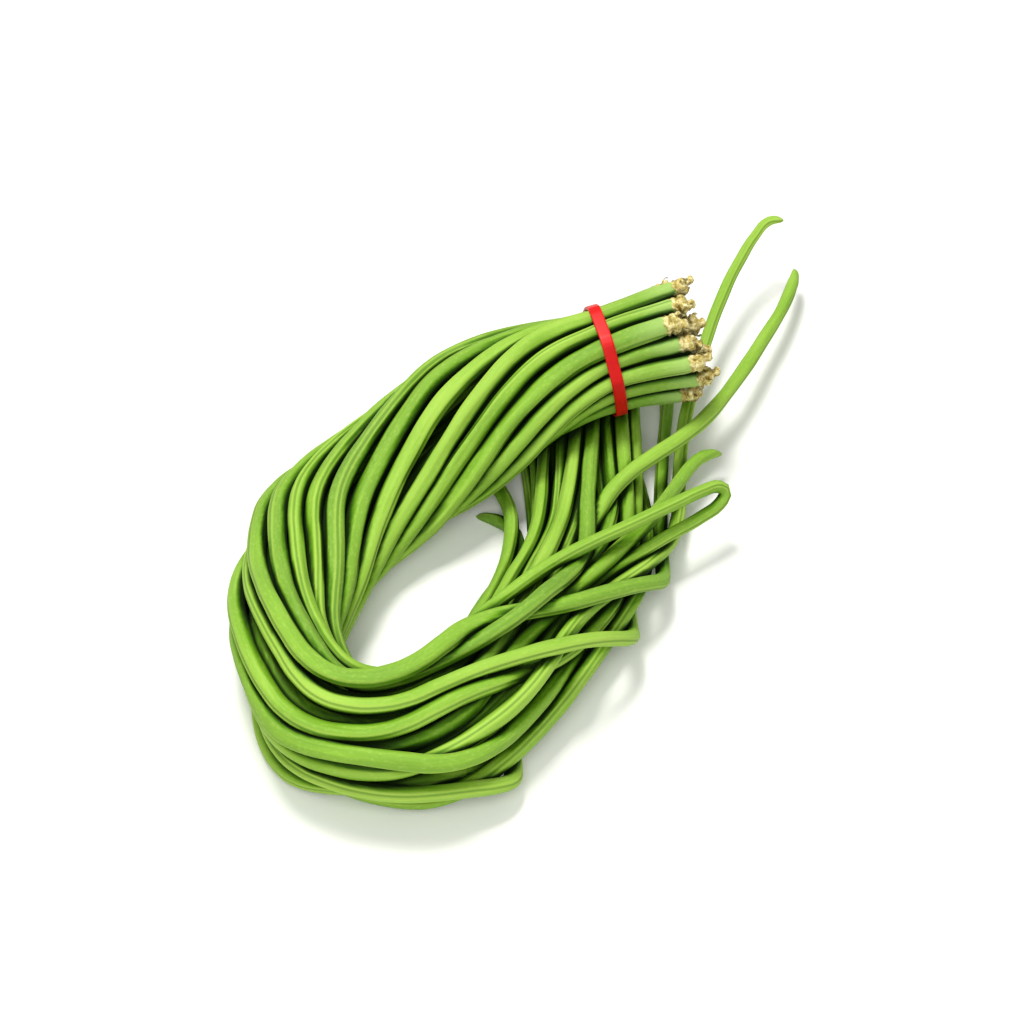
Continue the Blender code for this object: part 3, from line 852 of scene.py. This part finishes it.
# %% Places and patterns on a pod
skin = Finish("pod_skin", Specular_IOR_Level=0.13)
straight = skin.vector("straight")
along = skin.axis(straight, 0)
from_seam = abs(skin.axis(straight, 1))
own_place = skin.moved(straight, skin.number("own_pattern"))
streaks = skin.noise(own_place, (14.0, 700.0, 700.0), detail=3.0, rough=0.55)
patches = skin.noise(own_place, (22.0, 60.0, 60.0))
grain = skin.noise(own_place, (900.0, 1800.0, 1800.0))
specks = skin.noise(own_place, (420.0, 900.0, 900.0))
print("patterns made of", len(skin.nodes), "nodes")

# %% Greens of the living skin
SKIN_GREENS = (
    (0.22, (0.072, 0.200, 0.002)), (0.50, (0.162, 0.350, 0.009)), (0.80, (0.325, 0.525, 0.058)))
# Dark green painted as shade round the tie
TIE_SHADE_GREEN = (0.075, 0.205, 0.006)
PALE_GREEN = (0.36, 0.53, 0.18)
SPECK_GREEN = (0.38, 0.56, 0.09)
RIDGE_GREEN = (0.42, 0.60, 0.08)
GROOVE_GREEN = (0.060, 0.165, 0.003)
BEAK_OLIVE = (0.16, 0.22, 0.030)

lightness = patches * 0.46 + streaks * 0.34 + skin.number("tone") * 0.32 - 0.06
colour = skin.ramp(lightness, SKIN_GREENS)
# Painted shade: the skin darkens from 80 mm to 40 mm from the cut end, round the tie
shade_near_tie = skin.step(along + patches * 20 * MM, 80 * MM, 40 * MM)
colour = skin.blend(shade_near_tie * 0.42, colour, TIE_SHADE_GREEN)
pale = skin.step(along + patches * 14 * MM, 36 * MM, 17 * MM)
colour = skin.blend(pale * 0.50, colour, PALE_GREEN)
speckled = skin.step(specks, 0.50, 0.68)
colour = skin.blend(speckled * 0.20, colour, SPECK_GREEN)
ridge = skin.step(from_seam, 0.5 * MM, 0.9 * MM) * skin.step(from_seam, 2.0 * MM, 1.1 * MM)
colour = skin.blend(ridge * 0.35, colour, RIDGE_GREEN)
groove = skin.step(from_seam, 0.75 * MM, 0.15 * MM)
colour = skin.blend(groove * 0.65, colour, GROOVE_GREEN)
beak = skin.step(skin.number("from_tip") + streaks * 4 * MM, 6.0 * MM, 2.0 * MM)
colour = skin.blend(beak * 0.5, colour, BEAK_OLIVE)
print("with the greens,", len(skin.nodes), "nodes")

# %% [markdown]
# ### Dried stub and dark gaps
# The stalk's remains have dried to tan and end at an uneven edge; the brown in their creases is
# partly their own colour and partly painted shade. A second material would give a straight edge
# along the faces, so the tan is blended in instead.
# Last, the depth that each corner keeps paints shade into the colour: it darkens the sides that
# face a neighbour and nearly blackens the gaps, while skin in the open air gets a painted highlight.

# %% Tan of the stub
# Tan to brown: the brown in the creases is partly the stub's own colour, partly painted shade
STUB_TANS_AND_CREASE_SHADE = (
    (0.36, (0.17, 0.095, 0.012)), (0.50, (0.52, 0.380, 0.120)), (0.64, (0.88, 0.790, 0.460)))
creases = skin.noise(own_place, (420.0, 420.0, 420.0), detail=4.0, rough=0.65)
uneven_edge = skin.noise(own_place, (500.0, 500.0, 500.0))
dried = skin.step(along + uneven_edge * 4.0 * MM, 13.0 * MM, 11.6 * MM)
colour = skin.blend(dried, colour, skin.ramp(creases, STUB_TANS_AND_CREASE_SHADE))
print("with the stub,", len(skin.nodes), "nodes")

# %% Painted highlight in the open, painted shade on the sides and in the gaps
HIGHLIGHT_GREEN = (0.52, 0.69, 0.22)
SIDE_SHADE_GREEN = (0.015, 0.082, 0.0)
GAP_SHADE_GREEN = (0.003, 0.013, 0.0)
depth = skin.number("depth")
# Painted highlight: skin that nothing stands near is made paler
open_highlight = skin.step(depth, 0.20, 0.0)
colour = skin.blend(open_highlight * 0.14, colour, HIGHLIGHT_GREEN)
# Painted shade on the sides that face a neighbour
beside = skin.step(depth, 0.03, 0.32)
colour = skin.blend(beside * (0.74 - dried * 0.45), colour, SIDE_SHADE_GREEN)
# Painted shade, nearly black, in the gaps between pods
shaded_gaps = skin.step(depth, 0.20, 0.54)
colour = skin.blend(shaded_gaps * (0.95 - dried * 0.45), colour, GAP_SHADE_GREEN)
print("with the gaps,", len(skin.nodes), "nodes")

# %% Furrows and shine
furrows = skin.noise(own_place, (9.0, 330.0, 330.0))
height = furrows * 2.4 + streaks * 0.9 + grain * 0.10 + dried * creases * 6.0
skin.use(
    Base_Color=colour,
    Roughness=0.58 + grain * 0.10 + dried * 0.25 + shaded_gaps * 0.2,
    Normal=skin.bump(height, distance=0.14 * MM, strength=0.7))
for piece in pods:
    skin.cover(piece)
print("pod skin made of", len(skin.nodes), "nodes, on", len(pods), "pods")

# %% [markdown]
# ## Elastic band
# The band is a flat strip of red rubber, stretched so tight that it lies straight from pod to
# pod. A strip drawn as a curve would have to be fitted by hand, but the solid band already lies
# right. So a wide open tube is placed round the tie, along the bunch, and shrunk onto the solid.
# Then it gets its thickness, soft edges and a little unevenness, as a stretched strip has.

# %% Band's own axis
band_corners = np.array([vertex.co[:] for vertex in solids["band"].data.vertices])
band_middle = band_corners.mean(axis=0)
least_spread_first = np.linalg.eigh(np.cov((band_corners - band_middle).T))[1]
band_axis = Vector(least_spread_first[:, 0])
print("the bunch runs through the band along", [round(value, 3) for value in band_axis])

# %% Shrink a tube onto it
BAND_WIDTH = 5.5 * MM
SHRUNK_WIDTH = 4.0 * MM
TUBE_RADIUS = 34 * MM
TUBE_SIDES = 160
CUTS_ACROSS = 3
deselect()
bpy.ops.mesh.primitive_cylinder_add(
    vertices=TUBE_SIDES, radius=TUBE_RADIUS, depth=SHRUNK_WIDTH, end_fill_type="NOTHING",
    location=Vector(band_middle), rotation=band_axis.to_track_quat("Z", "Y").to_euler())
band = bpy.context.object
band.name = "band_strip"


def runs_across(edge):
    return abs((edge.verts[0].co - edge.verts[1].co).normalized().z) > 0.9


bpy.ops.object.mode_set(mode="EDIT")
across = select_where(band, runs_across, "EDGE")
bpy.ops.mesh.subdivide(number_cuts=CUTS_ACROSS)
bpy.ops.object.mode_set(mode="OBJECT")
shrink = band.modifiers.new("shrink", "SHRINKWRAP")
shrink.target = solids["band"]
shrink.wrap_method = "PROJECT"
shrink.use_negative_direction = True
shrink.use_positive_direction = False
apply_modifiers(band)
band.scale.z = BAND_WIDTH / SHRUNK_WIDTH
bpy.ops.object.transform_apply(location=True, rotation=True, scale=True)
print("strip of", len(band.data.polygons), "faces,", across, "across")

# %% Thickness and soft edges
BAND_THICKNESS = 1.6 * MM
EDGE_ROUNDING = 0.35 * MM
thick = band.modifiers.new("thickness", "SOLIDIFY")
thick.thickness = BAND_THICKNESS
thick.offset = -1.0
soft = band.modifiers.new("soft_edges", "BEVEL")
soft.width = EDGE_ROUNDING
soft.segments = 2
soft.limit_method = "ANGLE"
fine = band.modifiers.new("fine", "SUBSURF")
fine.levels = 1
fine.render_levels = 1
apply_modifiers(band)
band.data.shade_smooth()
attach(band, "root")
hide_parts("band")
print("band of", len(band.data.polygons), "faces")

# %% [markdown]
# ### Red rubber
# Rubber is matt and coloured through. Stretched, it is lighter where it is thin and darker where
# it is thick, so a soft noise blends two reds, and the same noise with a fine grain makes its
# surface slightly uneven. The band doesn't bend any more, so its own Object coordinates will do.

# %% Rubber of the band
DARK_RED = (0.42, 0.001, 0.001)
BRIGHT_RED = (0.70, 0.005, 0.004)
rubber = Finish("red_rubber", Specular_IOR_Level=0.22)
place = rubber.object_place()
worn = rubber.noise(place, (160.0, 160.0, 160.0), detail=3.0)
fine_grain = rubber.noise(place, (1500.0, 1500.0, 1500.0))
rubber.use(
    Base_Color=rubber.blend(worn, DARK_RED, BRIGHT_RED),
    Roughness=0.34 + worn * 0.2,
    Normal=rubber.bump(fine_grain * 0.4 + worn, distance=0.1 * MM, strength=0.5))
rubber.cover(band)
print("rubber made of", len(rubber.nodes), "nodes")
